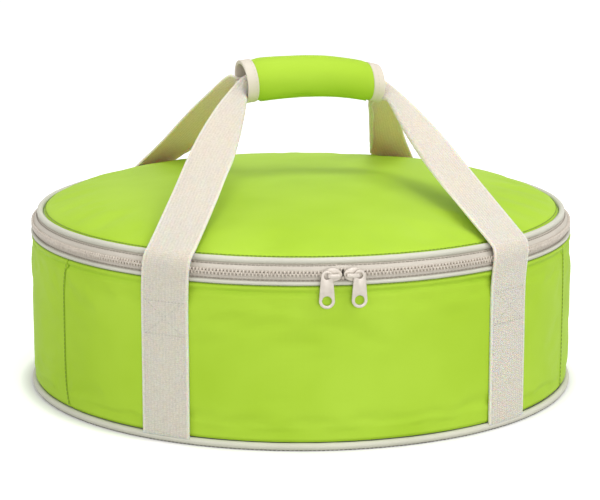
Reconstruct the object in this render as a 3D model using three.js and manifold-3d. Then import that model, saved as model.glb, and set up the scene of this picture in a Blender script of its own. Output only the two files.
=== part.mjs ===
// A round insulated pizza carrier: a padded tub, a zipped domed lid, and two webbing straps
// that meet in a wrapped grip. Lengths are millimetres and angles are degrees. +Z is up, the
// origin is the middle of the base on the floor, and the zip's sliders meet at the front, -Y.
import * as THREE from 'three';
import { mergeVertices } from 'three/addons/utils/BufferGeometryUtils.js';
import Module from 'manifold-3d';

// Driving dimensions of the tub
const wallRadius = 200; // outside of the fabric wall
const wallTop = 112.9; // top edge of the fabric wall
const panelThickness = 1.2; // outer fabric
const foamThickness = 8; // insulation in the wall, base and lid
const liningThickness = 0.8;
const boardThickness = 2.5; // stiffener in the base
const leftSeamAngle = 65.5; // upright wall seams, either side of the front
const rightSeamAngle = 62.2;
const clearance = 0.3; // between pieces that touch on the real bag

// Piping
const bottomPipingRadius = 2.5;
const zipPipingRadius = 1.4;
const lidPipingRadius = 2.2;
const pipingLift = 0.2; // bottom piping's height off the floor
const pipingStandOut = 1.9; // bottom piping, out from the wall
const zipPipingStandOut = 0.8; // zip piping, out from the wall

// Zip
const tapeThickness = 0.7;
const toothHeight = 1.4; // one row of teeth
const toothDepth = 1.9;
const toothGap = 2.9; // from the zip piping to the lower teeth
const upperTapeHeight = 4.6;
const hingeArc = 34; // the strip at the back that the zip leaves
const hingeThickness = 1.2;
const stopArc = 0.8; // end stop of the zip
const arcGap = 0.1; // clearance between pieces end to end round the bag

// Sliders and pullers
const meetAngle = -1.2; // where the sliders stand nose to nose
const noseGap = 1; // between the two noses
const sliderLength = 12.4;
const sliderHeight = 8.2;
const sliderTail = 5.4; // height of a slider's narrow end
const plateThickness = 1;
const postThickness = 0.8; // the slider's post, between the two rows of teeth
const postLength = 3;
const bridgeLegSpacing = 8.4;
const bridgeLegRadius = 0.9;
const bridgeLegHeight = 3.1;
const bridgeThickness = 1.3;
const bridgeHeight = 2.2;
const pullerThickness = 1.6;
const pullerStandOff = 0.5; // from the slider's front plate
const pullerReach = 22.5; // eye to tip
const pullerWidth = 10.6;
const eyeRadius = 3.2;
const eyeHoleRadius = 1.5;
const gripHoleRadius = 3;

// Lid
const lidInset = 6.6; // the lid piping's middle, in from the wall
const lidRise = 23.9; // crown of the dome above the lid's edge
const domePower = 1.25; // roundness of the dome's shoulder

// Straps
const strapWidth = 36;
const strapThickness = 1.5;
const frontLegAngle = 36.2; // from the front
const rearLegAngle = 31; // from the back
const legDrop = 13; // top stitch line below the wall's top edge
const lidStandOff = 4; // strap off the lid piping
const throatWidth = 23.4; // the strap where it starts to fold, just outside the grip
const throatReach = 9; // from the grip's mouth out to the throat
const throatDrop = 6; // throat below the grip's mouth
const throatTurn = 0.6; // share of the strap's quarter turn made by the throat
const slopeTurn = 1 / 3; // share made on the slope before it
const slopePlaces = [0.4, 0.8]; // points along the slope, as shares of it

// Grip
const gripLength = 104;
const gripShift = 8; // the handle leans a little to the right
const gripArch = 4; // ends of the grip below its middle
const handGap = 57.9; // crown of the lid to the grip
const coverThickness = 0.9;
const padThickness = 2.1;
const gripLiningThickness = 0.6;
const bindingWidth = 8;
const bindingStandOut = 0.5;
const foldedWidth = 18; // the strap folded double inside the grip
const foldedOffset = 2.6; // folded strap's middle, out from the grip's middle
const boreSlack = 0.6; // round the folded straps inside the grip
const mouthReach = 5; // where the folded strap starts to spread, out from the grip's end
const tapeStripThickness = 0.6; // hook and loop tapes
const tapeStripInset = 4; // hook and loop tapes, in from the bindings
const stripArc = 26; // one tape's reach round the grip
const stepArc = 4; // where the hook tape steps over the loop tape's edge
const gripSeamGap = 0.8; // half the slit between the grip's two halves, as an angle

// Mesh fineness
const fullTurn = 360;
const ringStep = 5;
const ringSegments = fullTurn / ringStep;
const pipingSides = 6;
const domeSteps = 5;
const gripSteps = 4;
const insideSteps = 4; // along each strap inside the grip
const stationSteps = 2;
const arcSteps = 5; // half the steps round a small arc
const pinSides = 10;

// Radii worked out from the wall inwards and outwards
const panelInner = wallRadius - panelThickness;
const foamOuter = panelInner - clearance;
const foamInner = foamOuter - foamThickness;
const liningOuter = foamInner - clearance;
const liningInner = liningOuter - liningThickness;
const bottomPipingMiddle = wallRadius + pipingStandOut - bottomPipingRadius;
const zipPipingMiddle = wallRadius + zipPipingStandOut - zipPipingRadius;
const lidPipingMiddle = wallRadius - lidInset;
const tapeOuter = zipPipingMiddle - zipPipingRadius - clearance;
const tapeInner = tapeOuter - tapeThickness;
const toothInner = tapeOuter + clearance;
const toothOuter = toothInner + toothDepth;
const lidRadius = lidPipingMiddle - lidPipingRadius - clearance;
const legInner = wallRadius + clearance;
const legOuter = legInner + strapThickness;

// The grip, worked out from the folded straps outwards
const gripBore = Math.hypot(foldedWidth / 2, foldedOffset + strapThickness) + boreSlack;
const gripLayers = gripLiningThickness + padThickness + coverThickness + 2 * clearance;
const gripRadius = gripBore + gripLayers;

// Heights worked out from the floor up
const bottomPipingHeight = pipingLift + bottomPipingRadius;
const wallBottom = bottomPipingHeight + bottomPipingRadius + clearance;
const boardBottom = panelThickness + clearance;
const baseFoamBottom = boardBottom + boardThickness + clearance;
const baseLiningBottom = baseFoamBottom + foamThickness + clearance;
const zipPipingHeight = wallTop + clearance + zipPipingRadius;
const postGap = postThickness + 2 * clearance;
const lowerTeethTop = zipPipingHeight + zipPipingRadius + toothGap + toothHeight;
const zipLine = lowerTeethTop + postGap / 2;
const upperTeethBottom = lowerTeethTop + postGap;
const upperTapeTop = upperTeethBottom + upperTapeHeight;
const lidPipingHeight = upperTapeTop + clearance + lidPipingRadius;
const lidEdge = lidPipingHeight + 2 * clearance;
const lidCrown = lidEdge + lidRise;
const legTop = wallTop - legDrop;
const gripHeight = lidCrown + handGap + gripRadius;

// The upper tape leans in from the teeth to the lid piping.
const tapeMiddle = (tapeInner + tapeOuter) / 2;
const tapeLean = (tapeMiddle - lidPipingMiddle) / upperTapeHeight;
const zipArc = 180 - hingeArc / 2;

const toRadians = THREE.MathUtils.degToRad;
const wasm = await Module();
wasm.setup();

// Turns a geometry's triangles round if they face inwards.
function faceOutwards(geometry) {
  const solid = geometry.index ? geometry.toNonIndexed() : geometry;
  const position = solid.attributes.position;
  const corners = [new THREE.Vector3(), new THREE.Vector3(), new THREE.Vector3()];
  let volume = 0;
  for (let i = 0; i < position.count; i += 3) {
    corners.forEach((corner, k) => corner.fromBufferAttribute(position, i + k));
    volume += corners[0].dot(corners[1].cross(corners[2]));
  }
  if (volume > 0) return solid;
  const turned = position.clone();
  for (let i = 0; i < position.count; i += 3) {
    turned.copyAt(i + 1, position, i + 2);
    turned.copyAt(i + 2, position, i + 1);
  }
  return new THREE.BufferGeometry().setAttribute('position', turned);
}

// A full turn of a closed outline of [radius, height] points.
function ring(outline) {
  const points = outline.map(([radius, height]) => new THREE.Vector2(radius, height));
  return faceOutwards(new THREE.LatheGeometry(points, ringSegments).rotateX(Math.PI / 2));
}

function flatRing(inner, outer, bottom, top) {
  return ring([[inner, bottom], [outer, bottom], [outer, top], [inner, top], [inner, bottom]]);
}

function pipingRing(middle, height, radius) {
  const outline = [];
  for (let i = 0; i <= pipingSides; i += 1) {
    const angle = (2 * Math.PI * (i % pipingSides)) / pipingSides;
    outline.push([middle + radius * Math.cos(angle), height + radius * Math.sin(angle)]);
  }
  return ring(outline);
}

function disc(radius, bottom, top) {
  const plate = new THREE.CylinderGeometry(radius, radius, top - bottom, ringSegments);
  return plate.rotateX(Math.PI / 2).translate(0, 0, (bottom + top) / 2);
}

// An upright piece of the wall between two angles from the front.
function sector(inner, outer, bottom, top, from, to) {
  const start = toRadians(from - 90);
  const end = toRadians(to - 90);
  const plan = new THREE.Shape();
  plan.absarc(0, 0, outer, start, end, false);
  plan.absarc(0, 0, inner, end, start, true);
  const curveSegments = Math.ceil((to - from) / ringStep / 2); // an arc gets two steps for each
  const depth = top - bottom;
  const piece = new THREE.ExtrudeGeometry(plan, { depth, curveSegments, bevelEnabled: false });
  return piece.translate(0, 0, bottom);
}

// Leans an upright piece of the wall in towards the bag's axis, above a given height.
function leanIn(piece, bottom, lean) {
  const position = piece.attributes.position;
  for (let i = 0; i < position.count; i += 1) {
    const radius = Math.hypot(position.getX(i), position.getY(i));
    const drawn = (radius - lean * (position.getZ(i) - bottom)) / radius;
    position.setXY(i, position.getX(i) * drawn, position.getY(i) * drawn);
  }
  return piece;
}

// The dome's height above its edge, at each step from the crown to the edge.
function domeCurve(radius, rise) {
  const curve = [];
  for (let i = 0; i <= domeSteps; i += 1) {
    const turn = (Math.PI / 2) * (i / domeSteps);
    const height = i === domeSteps ? 0 : rise * Math.cos(turn) ** domePower;
    curve.push([radius * Math.sin(turn), lidEdge + height]);
  }
  return curve;
}

// A domed layer of the lid, from its outer surface down by its thickness.
function domeLayer(inset, thickness) {
  const outer = domeCurve(lidRadius - inset, lidRise - inset);
  const inner = domeCurve(lidRadius - inset - thickness, lidRise - inset - thickness);
  return ring([...outer, ...inner.reverse()]);
}

// A closed strip through rings of four corners.
function loft(rings) {
  const corners = [];
  const quad = (a, b, c, d) => corners.push(a, b, c, a, c, d);
  for (let i = 1; i < rings.length; i += 1) {
    for (let k = 0; k < 4; k += 1) {
      const next = (k + 1) % 4;
      quad(rings[i - 1][k], rings[i - 1][next], rings[i][next], rings[i][k]);
    }
  }
  const last = rings[rings.length - 1];
  quad(rings[0][3], rings[0][2], rings[0][1], rings[0][0]);
  quad(last[0], last[1], last[2], last[3]);
  return faceOutwards(new THREE.BufferGeometry().setFromPoints(corners));
}

// How far the arched grip has dropped at a place along it.
function gripDrop(x) {
  return gripArch * ((x - gripShift) / (gripLength / 2)) ** 2;
}

// The free webbing on one side, from its stitch line to the mouth of the grip.
function strapSide(side, facing, legAngle) {
  const angle = toRadians(legAngle);
  const across = new THREE.Vector3(-side * Math.cos(angle), facing * Math.sin(angle), 0);
  const down = new THREE.Vector3(0, 0, -1);
  const overPiping = zipPipingMiddle + zipPipingRadius + clearance + strapThickness;
  const overLid = lidPipingMiddle + lidPipingRadius + lidStandOff + strapThickness / 2;
  const place = (radius, height) => new THREE.Vector3(
    side * radius * Math.sin(angle), facing * radius * Math.cos(angle), height);
  const lifted = lidStandOff + strapThickness;
  const shoulder = place(overLid - lifted, lidEdge + lifted);
  const mouthX = gripShift + side * (gripLength / 2 + mouthReach);
  const folded = 2 * strapThickness;
  const mouth = new THREE.Vector3(mouthX, facing * foldedOffset, gripHeight - gripDrop(mouthX));
  const outwards = new THREE.Vector3(side * throatReach, facing * 2 * foldedOffset, -throatDrop);
  const throat = mouth.clone().add(outwards);
  const flat = { across, width: strapWidth, thickness: strapThickness };
  const slope = slopePlaces.map((share) => ({
    point: shoulder.clone().lerp(throat, share),
    across: across.clone().lerp(down, share * slopeTurn),
    width: strapWidth,
    thickness: strapThickness,
  }));
  const turned = across.clone().lerp(down, throatTurn);
  return [
    { point: place((legInner + legOuter) / 2, legTop + clearance), ...flat },
    { point: place(overPiping, zipPipingHeight), ...flat },
    { point: place(overPiping, upperTeethBottom), ...flat },
    { point: place(overLid, lidEdge), ...flat },
    { point: shoulder, ...flat },
    ...slope,
    { point: throat, across: turned, width: throatWidth, thickness: folded },
    { point: mouth, across: down, width: foldedWidth, thickness: folded },
  ];
}

// One strap above its stitch lines: up one side, through the grip, down the other side.
function strapLoop(facing, legAngle) {
  const inside = [];
  for (let i = 0; i <= insideSteps; i += 1) {
    const x = gripShift + gripLength * (i / insideSteps - 0.5);
    inside.push({
      point: new THREE.Vector3(x, facing * foldedOffset, gripHeight - gripDrop(x)),
      across: new THREE.Vector3(0, 0, -1),
      width: foldedWidth,
      thickness: 2 * strapThickness,
    });
  }
  const left = strapSide(-1, facing, legAngle);
  const right = strapSide(1, facing, legAngle).reverse();
  const stations = [...left, ...inside, ...right];
  const path = new THREE.CatmullRomCurve3(stations.map((station) => station.point));
  const spans = stations.length - 1;
  const rings = [];
  for (let i = 0; i <= spans * stationSteps; i += 1) {
    const from = stations[Math.floor(i / stationSteps)];
    const to = stations[Math.ceil(i / stationSteps)];
    const share = (i % stationSteps) / stationSteps;
    const along = path.getTangent(i / (spans * stationSteps));
    const middle = path.getPoint(i / (spans * stationSteps));
    const across = from.across.clone().lerp(to.across, share);
    across.addScaledVector(along, -across.dot(along)).normalize();
    const out = across.clone().cross(along);
    const half = THREE.MathUtils.lerp(from.width, to.width, share) / 2;
    const thick = THREE.MathUtils.lerp(from.thickness, to.thickness, share) / 2;
    rings.push([[-1, -1], [1, -1], [1, 1], [-1, 1]].map(([a, b]) => (
      middle.clone().addScaledVector(across, a * half).addScaledVector(out, b * thick))));
  }
  return loft(rings);
}

// A band round the grip between two angles, counted from straight back over the top.
function gripBand(inner, outer, from, to) {
  const band = new THREE.Shape();
  band.absarc(0, 0, outer, toRadians(from), toRadians(to), false);
  band.absarc(0, 0, inner, toRadians(to), toRadians(from), true);
  return band;
}

// Runs a section, drawn as [back, up], along the arched grip between two places.
function alongGrip(section, from, to) {
  const piece = new THREE.ExtrudeGeometry(section, {
    depth: to - from, steps: gripSteps, curveSegments: arcSteps, bevelEnabled: false });
  const position = piece.attributes.position;
  for (let i = 0; i < position.count; i += 1) {
    const x = gripShift + from + position.getZ(i);
    const back = position.getX(i);
    const up = position.getY(i);
    position.setXYZ(i, x, back, gripHeight + up - gripDrop(x));
  }
  return piece;
}

function toSolid(geometry) {
  const bare = new THREE.BufferGeometry();
  const loose = geometry.index ? geometry.toNonIndexed() : geometry;
  bare.setAttribute('position', loose.attributes.position);
  const merged = mergeVertices(bare);
  return new wasm.Manifold(new wasm.Mesh({
    numProp: 3,
    vertProperties: merged.attributes.position.array,
    triVerts: new Uint32Array(merged.index.array),
  }));
}

function join(geometries) {
  const mesh = geometries.map(toSolid).reduce((sum, solid) => sum.add(solid)).getMesh();
  const joined = new THREE.BufferGeometry();
  joined.setAttribute('position', new THREE.BufferAttribute(mesh.vertProperties, 3));
  joined.setIndex(new THREE.BufferAttribute(mesh.triVerts, 1));
  return joined;
}

// A plate that faces the front, from a shape drawn as [right, up], between two radii.
function facePlate(shape, inner, outer) {
  const options = { depth: outer - inner, curveSegments: arcSteps, bevelEnabled: false };
  return new THREE.ExtrudeGeometry(shape, options).rotateX(Math.PI / 2).translate(0, -inner, zipLine);
}

function faceBox(width, height, inner, outer, right) {
  const block = new THREE.BoxGeometry(width, outer - inner, height);
  return block.translate(right, -(inner + outer) / 2, zipLine);
}

// Slider radii, from the bag's axis outwards
const sliderTop = zipLine + sliderHeight / 2;
const sliderFront = Math.max(toothOuter, zipPipingMiddle + zipPipingRadius) + clearance;
const sliderFace = sliderFront + plateThickness;
const sliderBack = tapeInner - tapeLean * (sliderTop - upperTeethBottom) - 2 * clearance;
const bridgeInner = sliderFace + bridgeLegHeight;
const bridgeOuter = bridgeInner + bridgeThickness;

// A slider seen from the front, wide at its nose, which points right for 1 and left for -1.
function sliderOutline(nose) {
  const half = sliderLength / 2;
  const shoulder = sliderLength / 5;
  const outline = [
    [-half, -sliderTail / 2], [half - shoulder, -sliderHeight / 2], [half, -sliderTail / 2],
    [half, sliderTail / 2], [half - shoulder, sliderHeight / 2], [-half, sliderTail / 2],
  ];
  return new THREE.Shape(outline.map(([right, up]) => new THREE.Vector2(nose * right, up)));
}

function slider(nose) {
  const reach = bridgeLegHeight + plateThickness;
  const bridgeLegs = [-1, 1].map((end) => {
    const leg = new THREE.CylinderGeometry(bridgeLegRadius, bridgeLegRadius, reach, pinSides);
    return leg.translate(end * bridgeLegSpacing / 2, -(sliderFace + bridgeInner) / 2, zipLine);
  });
  const postMiddle = nose * (sliderLength / 2 - postLength);
  return join([
    facePlate(sliderOutline(nose), sliderFront, sliderFace),
    facePlate(sliderOutline(nose), sliderBack - plateThickness, sliderBack),
    faceBox(postLength, postThickness, sliderBack - clearance, sliderFront + clearance, postMiddle),
    faceBox(bridgeLegSpacing + 2 * bridgeLegRadius, bridgeHeight, bridgeInner, bridgeOuter, 0),
    ...bridgeLegs,
  ]);
}

// A puller hung on the outer leg of its slider's bridge.
function puller(nose) {
  const middle = -nose * bridgeLegSpacing / 2;
  const endRadius = pullerWidth / 2;
  const endHeight = endRadius - pullerReach;
  const tab = new THREE.Shape();
  tab.absarc(middle, 0, eyeRadius, 0, Math.PI, false);
  tab.absarc(middle, endHeight, endRadius, Math.PI, 2 * Math.PI, false);
  const eye = new THREE.Path();
  eye.absarc(middle, 0, eyeHoleRadius, 0, 2 * Math.PI, true);
  const gripHole = new THREE.Path();
  gripHole.absarc(middle, endHeight, gripHoleRadius, 0, 2 * Math.PI, true);
  tab.holes.push(eye, gripHole);
  const inner = sliderFace + pullerStandOff;
  return facePlate(tab, inner, inner + pullerThickness);
}

const bag = new THREE.Group();

function finish(colour, roughness, metalness = 0) {
  return { color: colour, roughness, metalness };
}

const lime = finish(0xa9d136, 0.55);
const beige = finish(0xded4c5, 0.8);
const paleTrim = finish(0xe2dccd, 0.6);
const foil = finish(0xc9ccd0, 0.35, 0.6);
const foam = finish(0xf2f2ee, 0.9);
const board = finish(0x9a9a96, 0.8);
const castMetal = finish(0xd8d0c4, 0.4, 0.3);

function add(name, geometry, look, parent = bag) {
  const mesh = new THREE.Mesh(geometry, new THREE.MeshStandardMaterial(look));
  mesh.name = name;
  parent.add(mesh);
}

// Base, from the floor up
const boardRadius = bottomPipingMiddle - bottomPipingRadius - clearance;
add('base_panel', disc(boardRadius, 0, panelThickness), lime);
add('base_board', disc(boardRadius, boardBottom, boardBottom + boardThickness), board);
add('base_foam', disc(liningOuter, baseFoamBottom, baseFoamBottom + foamThickness), foam);
add('base_lining', disc(liningInner - clearance, baseLiningBottom, baseLiningBottom + liningThickness), foil);
add('bottom_piping', pipingRing(bottomPipingMiddle, bottomPipingHeight, bottomPipingRadius), paleTrim);

// Wall, from the outside in
const seamGap = arcGap / 2;
const backSeamEnd = fullTurn - leftSeamAngle - seamGap;
add('wall_front_panel',
  sector(panelInner, wallRadius, wallBottom, wallTop, seamGap - leftSeamAngle, rightSeamAngle - seamGap), lime);
add('wall_back_panel',
  sector(panelInner, wallRadius, wallBottom, wallTop, rightSeamAngle + seamGap, backSeamEnd), lime);
add('wall_foam', flatRing(foamInner, foamOuter, wallBottom, wallTop), foam);
add('wall_lining', flatRing(liningInner, liningOuter, baseLiningBottom, wallTop), foil);

// Zip and hinge strip. The lower half is sewn to the wall and the upper half to the lid.
const stopStart = zipArc - stopArc;
const teethArc = stopStart - arcGap;
const lowerTapeBottom = wallTop + clearance;
add('lower_zip_piping', pipingRing(zipPipingMiddle, zipPipingHeight, zipPipingRadius), paleTrim);
add('zip_lower_tape', sector(tapeInner, tapeOuter, lowerTapeBottom, lowerTeethTop, -zipArc, zipArc), beige);
add('zip_lower_teeth',
  sector(toothInner, toothOuter, lowerTeethTop - toothHeight, lowerTeethTop, -teethArc, teethArc), paleTrim);
add('zip_stop_left',
  sector(toothInner, toothOuter, lowerTeethTop - toothHeight, lowerTeethTop, -zipArc, -stopStart), castMetal);
add('zip_stop_right',
  sector(toothInner, toothOuter, lowerTeethTop - toothHeight, lowerTeethTop, stopStart, zipArc), castMetal);
const upperTape = sector(tapeInner, tapeOuter, upperTeethBottom, upperTapeTop, -zipArc, zipArc);
add('zip_upper_tape', leanIn(upperTape, upperTeethBottom, tapeLean), beige);
const upperTeethTop = upperTeethBottom + toothHeight;
add('zip_upper_teeth',
  sector(toothInner, toothOuter, upperTeethBottom, upperTeethTop, -teethArc, teethArc), paleTrim);
const hingeStart = zipArc + arcGap;
const hingeEnd = fullTurn - hingeStart;
const hingeInner = tapeOuter - hingeThickness;
add('back_hinge_lower',
  sector(hingeInner, tapeOuter, lowerTapeBottom, zipLine - clearance, hingeStart, hingeEnd), beige);
const hingeBottom = zipLine + clearance;
const hingeUpper = sector(hingeInner, tapeOuter, hingeBottom, upperTapeTop, hingeStart, hingeEnd);
add('back_hinge_upper', leanIn(hingeUpper, hingeBottom, tapeLean), beige);

// Lid, from the outside in
const lidFoamInset = panelThickness + clearance;
const lidLiningInset = lidFoamInset + foamThickness + clearance;
add('lid_piping', pipingRing(lidPipingMiddle, lidPipingHeight, lidPipingRadius), paleTrim);
add('lid_top_panel', domeLayer(0, panelThickness), lime);
add('lid_foam', domeLayer(lidFoamInset, foamThickness), foam);
add('lid_lining', domeLayer(lidLiningInset, liningThickness), foil);

// Sliders and pullers, nose to nose
const sliderTurn = THREE.MathUtils.radToDeg((sliderLength + noseGap) / 2 / sliderFront);
for (const [side, nose] of [['left', 1], ['right', -1]]) {
  const place = new THREE.Group();
  place.rotation.z = toRadians(meetAngle - nose * sliderTurn);
  bag.add(place);
  add(`${side}_slider`, slider(nose), castMetal, place);
  add(`${side}_puller`, puller(nose), castMetal, place);
}

// Straps: four sewn legs on the wall, and the two loops above them
const legHalfAngle = THREE.MathUtils.radToDeg(strapWidth / 2 / legInner);
const legs = {
  front_left_leg: -frontLegAngle,
  front_right_leg: frontLegAngle,
  rear_left_leg: rearLegAngle - 180,
  rear_right_leg: 180 - rearLegAngle,
};
for (const [name, angle] of Object.entries(legs)) {
  const from = angle - legHalfAngle;
  const to = angle + legHalfAngle;
  add(name, sector(legInner, legOuter, wallBottom, legTop, from, to), beige);
}
add('front_strap', strapLoop(-1, frontLegAngle), beige);
add('rear_strap', strapLoop(1, rearLegAngle), beige);

// Grip: a front half on the front strap, and a flap that closes round the back
const coverInner = gripRadius - coverThickness;
const padOuter = coverInner - clearance;
const padInner = padOuter - padThickness;
const gripLiningOuter = padInner - clearance;
const gripLiningInner = gripLiningOuter - gripLiningThickness;
const gripEnd = gripLength / 2;
const wrapEnd = gripEnd - bindingWidth - clearance;
const halves = {
  grip: [90 + gripSeamGap, 270 - gripSeamGap],
  flap: [-90 + gripSeamGap, 90 - gripSeamGap],
};
for (const [half, [from, to]] of Object.entries(halves)) {
  const layer = (inner, outer) => alongGrip(gripBand(inner, outer, from, to), -wrapEnd, wrapEnd);
  add(`${half}_cover`, layer(coverInner, gripRadius), lime);
  add(`${half}_pad`, layer(padInner, padOuter), foam);
  add(`${half}_lining`, layer(gripLiningInner, gripLiningOuter), beige);
  const binding = gripBand(gripLiningInner, gripRadius + bindingStandOut, from, to);
  add(`${half}_binding_left`, alongGrip(binding, -gripEnd, bindingWidth - gripEnd), paleTrim);
  add(`${half}_binding_right`, alongGrip(binding, gripEnd - bindingWidth, gripEnd), paleTrim);
}

// The loop tape lies under the front half, and the hook tape steps from the flap over it.
const stripEnd = wrapEnd - tapeStripInset;
const loopInner = gripRadius + clearance;
const loopOuter = loopInner + tapeStripThickness;
const hookInner = loopOuter + clearance;
const hookOuter = hookInner + tapeStripThickness;
const bottom = 270;
add('loop_tape',
  alongGrip(gripBand(loopInner, loopOuter, bottom - stripArc, bottom - stepArc), -stripEnd, stripEnd), beige);
const hookSection = new THREE.Shape();
hookSection.absarc(0, 0, hookOuter, toRadians(bottom - stripArc), toRadians(bottom), false);
hookSection.absarc(0, 0, loopOuter, toRadians(bottom + stepArc), toRadians(bottom + stripArc), false);
hookSection.absarc(0, 0, loopInner, toRadians(bottom + stripArc), toRadians(bottom + stepArc), true);
hookSection.absarc(0, 0, hookInner, toRadians(bottom), toRadians(bottom - stripArc), true);
add('hook_tape', alongGrip(hookSection, -stripEnd, stripEnd), lime);

export default bag;
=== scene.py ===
# %% [markdown]
# # A round pizza carrier
# The carrier is a padded drum of lime green cloth with a zipped, softly domed lid. Two straps of beige
# webbing are sewn down its wall and meet over the lid in a wrapped grip. The solids that fix its sizes
# and joints are loaded first, and every piece below is modelled around them, in metres, front towards -Y.

# %% Load the frame
import math

import bmesh
import bpy
from mathutils import Matrix, Vector, noise


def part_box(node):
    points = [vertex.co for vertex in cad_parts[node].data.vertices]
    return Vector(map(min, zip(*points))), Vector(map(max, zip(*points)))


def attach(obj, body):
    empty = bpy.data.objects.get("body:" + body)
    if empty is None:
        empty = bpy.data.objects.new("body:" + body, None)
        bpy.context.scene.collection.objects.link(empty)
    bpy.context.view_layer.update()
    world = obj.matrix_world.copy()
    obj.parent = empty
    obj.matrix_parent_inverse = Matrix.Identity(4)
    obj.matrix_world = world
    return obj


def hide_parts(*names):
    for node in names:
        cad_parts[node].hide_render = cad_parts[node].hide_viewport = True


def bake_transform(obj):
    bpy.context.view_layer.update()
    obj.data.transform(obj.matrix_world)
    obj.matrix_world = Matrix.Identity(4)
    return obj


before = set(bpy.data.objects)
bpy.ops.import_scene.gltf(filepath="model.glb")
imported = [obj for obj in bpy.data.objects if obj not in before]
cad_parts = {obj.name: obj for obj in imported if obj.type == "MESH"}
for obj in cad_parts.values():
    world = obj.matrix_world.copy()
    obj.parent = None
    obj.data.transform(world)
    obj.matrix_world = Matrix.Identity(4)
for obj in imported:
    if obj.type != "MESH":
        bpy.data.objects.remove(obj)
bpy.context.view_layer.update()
scene = bpy.context.scene
MM = 0.001

# %% [markdown]
# ## The camera
# A long lens keeps the drum's ellipses flat, as a product photograph does. The camera stands a little to
# the left of the front and looks slightly down. Its place was found by fitting the drum's edges.

# %% Set the camera
lens = bpy.data.cameras.new("photo_camera")
lens.sensor_fit = "HORIZONTAL"
lens.sensor_width = 36
lens.lens = 132
lens.shift_x = -0.00125
camera = bpy.data.objects.new("photo_camera", lens)
camera.location = (-0.2550, -1.5917, 0.4411)
camera.rotation_euler = (math.radians(77.87), 0, math.radians(-9.1))
scene.collection.objects.link(camera)
scene.camera = camera
scene.view_settings.view_transform = "Standard"
print("camera at", tuple(round(v, 3) for v in camera.location))

# %% [markdown]
# ## Helpers for nodes
# A material here is one Principled shader with a few texture nodes in front of it. `node` adds a node and
# either links or sets each of its inputs, so a material reads as a short list. The world has nodes too, and
# takes them in the same way.


# %% Node helpers
def paint(name, colour, roughness, finish=None):
    """A new material whose shader has these plain values; texture nodes are added to it afterwards."""
    made = bpy.data.materials.new(name)
    made.use_nodes = True
    shader = made.node_tree.nodes["Principled BSDF"]
    shader.inputs["Base Color"].default_value = (*colour, 1)
    shader.inputs["Roughness"].default_value = roughness
    for socket, value in (finish or {}).items():
        shader.inputs[socket].default_value = value
    return made


def node(made, kind, inputs=None, **settings):
    """Adds a node to a material or a world, sets its properties, and links or sets its inputs."""
    item = made.node_tree.nodes.new("ShaderNode" + kind)
    for key, value in settings.items():
        setattr(item, key, value)
    for key, value in (inputs or {}).items():
        if isinstance(value, bpy.types.NodeSocket):
            made.node_tree.links.new(value, item.inputs[key])
        else:
            item.inputs[key].default_value = value
    return item


def feed(made, socket, output):
    """Links an output to the shader."""
    shader = made.node_tree.nodes["Principled BSDF"]
    made.node_tree.links.new(output, shader.inputs[socket])


# %% [markdown]
# Every finish is a pattern that steers a tint, a bump or both. A weave is two crossed waves on the UV map,
# which is the cloth laid flat, so its threads follow the cloth. Uneven dye and specks are noise in the
# piece's own frame, which has no seam.


# %% Patterns
def threads(made, across, along):
    """Height of a plain weave on the UV map, whose threads repeat at these distances."""
    wave_length = 0.314  # a wave texture repeats at this distance when its scale is 1
    flat = node(made, "TexCoord").outputs["UV"]
    warp = node(made, "TexWave", {"Vector": flat, "Scale": wave_length / across}, bands_direction="X")
    weft = node(made, "TexWave", {"Vector": flat, "Scale": wave_length / along}, bands_direction="Y")
    both = {0: warp.outputs["Fac"], 1: weft.outputs["Fac"]}
    return node(made, "Math", both, operation="MULTIPLY").outputs[0]


def clouds(made, scale, detail=2.0):
    """Soft noise over the piece, in its own frame."""
    place = node(made, "TexCoord").outputs["Object"]
    return node(made, "TexNoise", {"Vector": place, "Scale": scale, "Detail": detail}).outputs["Fac"]


def blend_sum(made, first, second, share):
    """The first value plus a share of the second."""
    inputs = {0: second, 1: share, 2: first}
    return node(made, "Math", inputs, operation="MULTIPLY_ADD").outputs[0]


def tint(made, value, dark, light, low=0.3, high=0.7):
    """Colours the shader between two tints as a value goes from low to high."""
    ramp = node(made, "ValToRGB", {"Fac": value})
    ends = ramp.color_ramp.elements
    ends[0].position = low
    ends[1].position = high
    ends[0].color = (*dark, 1)
    ends[1].color = (*light, 1)
    feed(made, "Base Color", ramp.outputs["Color"])


def emboss(made, height, strength, distance):
    """Raises the surface's shading by a height."""
    bump = node(made, "Bump", {"Height": height, "Strength": strength, "Distance": distance})
    feed(made, "Normal", bump.outputs["Normal"])


# %% [markdown]
# ## Cloths
# The outer cloth is a close polyester weave, nearly matt. Its threads are about a pixel wide in the main
# view, so the weave only softens the light there and shows when the camera comes near. The tapes, the piping
# and the bindings are the same kind of cloth in other colours, so one function makes them all. The lining is
# the exception: a metal film, embossed with small squares.


# %% Woven cloths and foil lining
def woven(name, dark, light, roughness, across, along, depth, sheen):
    """Cloth between two tints; its thread distances and the depth of its weave are in millimetres."""
    finish = {"Sheen Weight": sheen, "Sheen Roughness": 0.4, "Specular IOR Level": 0.08}
    made = paint(name, light, roughness, finish)
    weave = threads(made, across * MM, along * MM)
    tint(made, blend_sum(made, clouds(made, 16), weave, 0.15), dark, light, 0.32, 0.72)
    emboss(made, weave, 0.5, depth * MM)
    return made


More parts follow.
